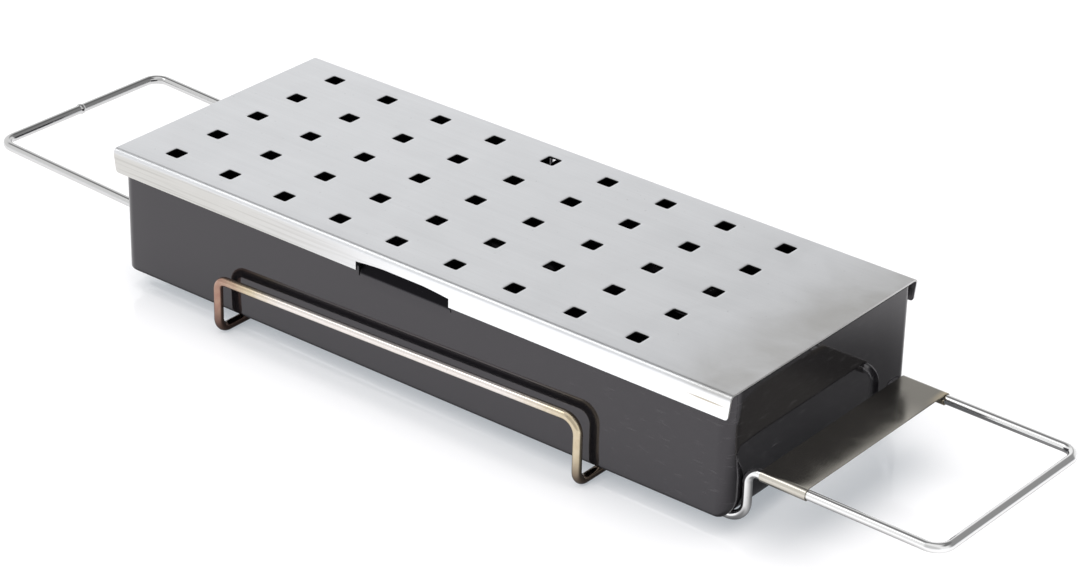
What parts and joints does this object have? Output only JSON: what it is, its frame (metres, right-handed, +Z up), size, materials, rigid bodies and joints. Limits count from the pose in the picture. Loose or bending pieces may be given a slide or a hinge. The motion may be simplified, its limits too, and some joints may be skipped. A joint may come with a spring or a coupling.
{
  "type": "grill smoker box",
  "caption": "Long black chip tray with a perforated steel lid, standing in a cradle of two bent wire loops that form side rails and end handles.",
  "frame": {"origin": "centre of the overall footprint, on the surface the box stands on", "axes": "+X along the box toward the handle that carries the plate, +Y toward the back long side, +Z up"},
  "size_m": [0.4788, 0.1302, 0.0612],
  "materials": {
    "handle_wire": "bright plated wire",
    "rail_wire": "bright wire with straw and copper heat tint",
    "handle_plate": "smooth polished sheet",
    "tray": "satin black coat, slightly glossy",
    "lid": "fine satin sheet, light smudges"
  },
  "bodies": {
    "cradle": {"handle_wire": "handle_wire", "rail_wire": "rail_wire", "handle_plate": "handle_plate"},
    "tray": {"tray": "tray"},
    "lid": {"lid": "lid"}
  },
  "joints": [
    {"name": "tray_lift", "type": "slide", "parent": "cradle", "child": "tray", "axis": [0, 0, 1], "range_m": [0, 0.08]},
    {"name": "lid_lift", "type": "slide", "parent": "tray", "child": "lid", "axis": [0, 0, 1], "range_m": [0, 0.06]}
  ]
}
